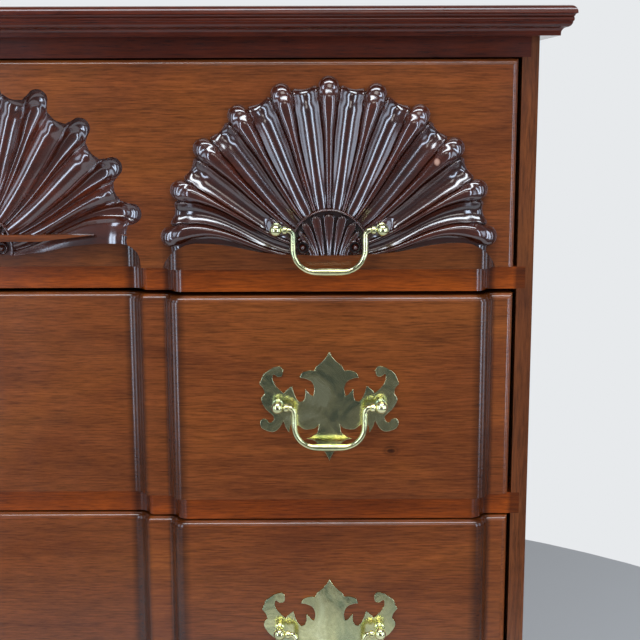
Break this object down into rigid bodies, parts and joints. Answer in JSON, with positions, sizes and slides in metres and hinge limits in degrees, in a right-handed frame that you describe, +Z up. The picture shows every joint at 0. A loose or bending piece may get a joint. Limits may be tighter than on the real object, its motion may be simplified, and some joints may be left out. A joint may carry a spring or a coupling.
{
  "type": "block front chest of drawers",
  "caption": "Block front chest of graduated drawers with carved shells on the top drawer, brass bail pulls, a moulded top and bracket feet.",
  "frame": {"origin": "on the floor, below the centre of the overall box", "axes": "+Z up, -Y out of the drawer fronts, +X to the right of someone facing the drawers"},
  "size_m": [0.868, 0.5025, 0.8666],
  "materials": {
    "case_mahogany": "dark red-brown mahogany, rubbed gloss",
    "front_mahogany": "red-brown mahogany with horizontal grain, polished gloss",
    "carved_mahogany": "dark stained carving under high gloss",
    "secondary_wood": "plain unfinished poplar",
    "brass": "aged brass, polished"
  },
  "bodies": {
    "case": {"top_board": "case_mahogany", "side_panel_left": "case_mahogany", "side_panel_right": "case_mahogany", "bottom_board": "secondary_wood", "back_panel": "secondary_wood", "top_rail": "case_mahogany", "divider_1": "case_mahogany", "divider_2": "case_mahogany", "divider_3": "case_mahogany", "bottom_rail": "case_mahogany", "side_facings": "case_mahogany", "drawer_runners": "secondary_wood", "dust_panels": "secondary_wood", "top_kickers": "secondary_wood", "drawer_stops": "secondary_wood", "base_moulding": "case_mahogany", "front_foot_left": "case_mahogany", "front_foot_right": "case_mahogany", "rear_feet": "case_mahogany", "foot_blocks": "secondary_wood"},
    "drawer_1": {"drawer_1_front": "front_mahogany", "drawer_1_side_left": "secondary_wood", "drawer_1_side_right": "secondary_wood", "drawer_1_back": "secondary_wood", "drawer_1_bottom": "secondary_wood", "drawer_1_pull_posts": "brass", "shell_left": "carved_mahogany", "shell_centre": "carved_mahogany", "shell_right": "carved_mahogany"},
    "drawer_1_bail_left": {"drawer_1_bail_left": "brass"},
    "drawer_1_bail_right": {"drawer_1_bail_right": "brass"},
    "drawer_2": {"drawer_2_front": "front_mahogany", "drawer_2_side_left": "secondary_wood", "drawer_2_side_right": "secondary_wood", "drawer_2_back": "secondary_wood", "drawer_2_bottom": "secondary_wood", "drawer_2_pull_posts": "brass", "drawer_2_back_plates": "brass"},
    "drawer_2_bail_left": {"drawer_2_bail_left": "brass"},
    "drawer_2_bail_right": {"drawer_2_bail_right": "brass"},
    "drawer_3": {"drawer_3_front": "front_mahogany", "drawer_3_side_left": "secondary_wood", "drawer_3_side_right": "secondary_wood", "drawer_3_back": "secondary_wood", "drawer_3_bottom": "secondary_wood", "drawer_3_pull_posts": "brass", "drawer_3_back_plates": "brass"},
    "drawer_3_bail_left": {"drawer_3_bail_left": "brass"},
    "drawer_3_bail_right": {"drawer_3_bail_right": "brass"},
    "drawer_4": {"drawer_4_front": "front_mahogany", "drawer_4_side_left": "secondary_wood", "drawer_4_side_right": "secondary_wood", "drawer_4_back": "secondary_wood", "drawer_4_bottom": "secondary_wood", "drawer_4_pull_posts": "brass", "drawer_4_back_plates": "brass"},
    "drawer_4_bail_left": {"drawer_4_bail_left": "brass"},
    "drawer_4_bail_right": {"drawer_4_bail_right": "brass"}
  },
  "joints": [
    {"name": "drawer_1_slide", "type": "slide", "parent": "case", "child": "drawer_1", "axis": [0, -1, 0], "range_m": [0, 0.32]},
    {"name": "drawer_1_bail_left_swing", "type": "hinge", "parent": "drawer_1", "child": "drawer_1_bail_left", "pos_m": [-0.261, -0.24718, 0.7109], "axis": [-1, 0, 0], "range_deg": [-15, 195]},
    {"name": "drawer_1_bail_right_swing", "type": "hinge", "parent": "drawer_1", "child": "drawer_1_bail_right", "pos_m": [0.261, -0.24718, 0.7109], "axis": [-1, 0, 0], "range_deg": [-15, 195]},
    {"name": "drawer_2_slide", "type": "slide", "parent": "case", "child": "drawer_2", "axis": [0, -1, 0], "range_m": [0, 0.32]},
    {"name": "drawer_2_bail_left_swing", "type": "hinge", "parent": "drawer_2", "child": "drawer_2_bail_left", "pos_m": [-0.261, -0.24718, 0.5808], "axis": [-1, 0, 0], "range_deg": [-15, 195]},
    {"name": "drawer_2_bail_right_swing", "type": "hinge", "parent": "drawer_2", "child": "drawer_2_bail_right", "pos_m": [0.261, -0.24718, 0.5808], "axis": [-1, 0, 0], "range_deg": [-15, 195]},
    {"name": "drawer_3_slide", "type": "slide", "parent": "case", "child": "drawer_3", "axis": [0, -1, 0], "range_m": [0, 0.32]},
    {"name": "drawer_3_bail_left_swing", "type": "hinge", "parent": "drawer_3", "child": "drawer_3_bail_left", "pos_m": [-0.261, -0.24718, 0.40415], "axis": [-1, 0, 0], "range_deg": [-15, 195]},
    {"name": "drawer_3_bail_right_swing", "type": "hinge", "parent": "drawer_3", "child": "drawer_3_bail_right", "pos_m": [0.261, -0.24718, 0.40415], "axis": [-1, 0, 0], "range_deg": [-15, 195]},
    {"name": "drawer_4_slide", "type": "slide", "parent": "case", "child": "drawer_4", "axis": [0, -1, 0], "range_m": [0, 0.32]},
    {"name": "drawer_4_bail_left_swing", "type": "hinge", "parent": "drawer_4", "child": "drawer_4_bail_left", "pos_m": [-0.261, -0.24718, 0.2201], "axis": [-1, 0, 0], "range_deg": [-15, 195]},
    {"name": "drawer_4_bail_right_swing", "type": "hinge", "parent": "drawer_4", "child": "drawer_4_bail_right", "pos_m": [0.261, -0.24718, 0.2201], "axis": [-1, 0, 0], "range_deg": [-15, 195]}
  ]
}
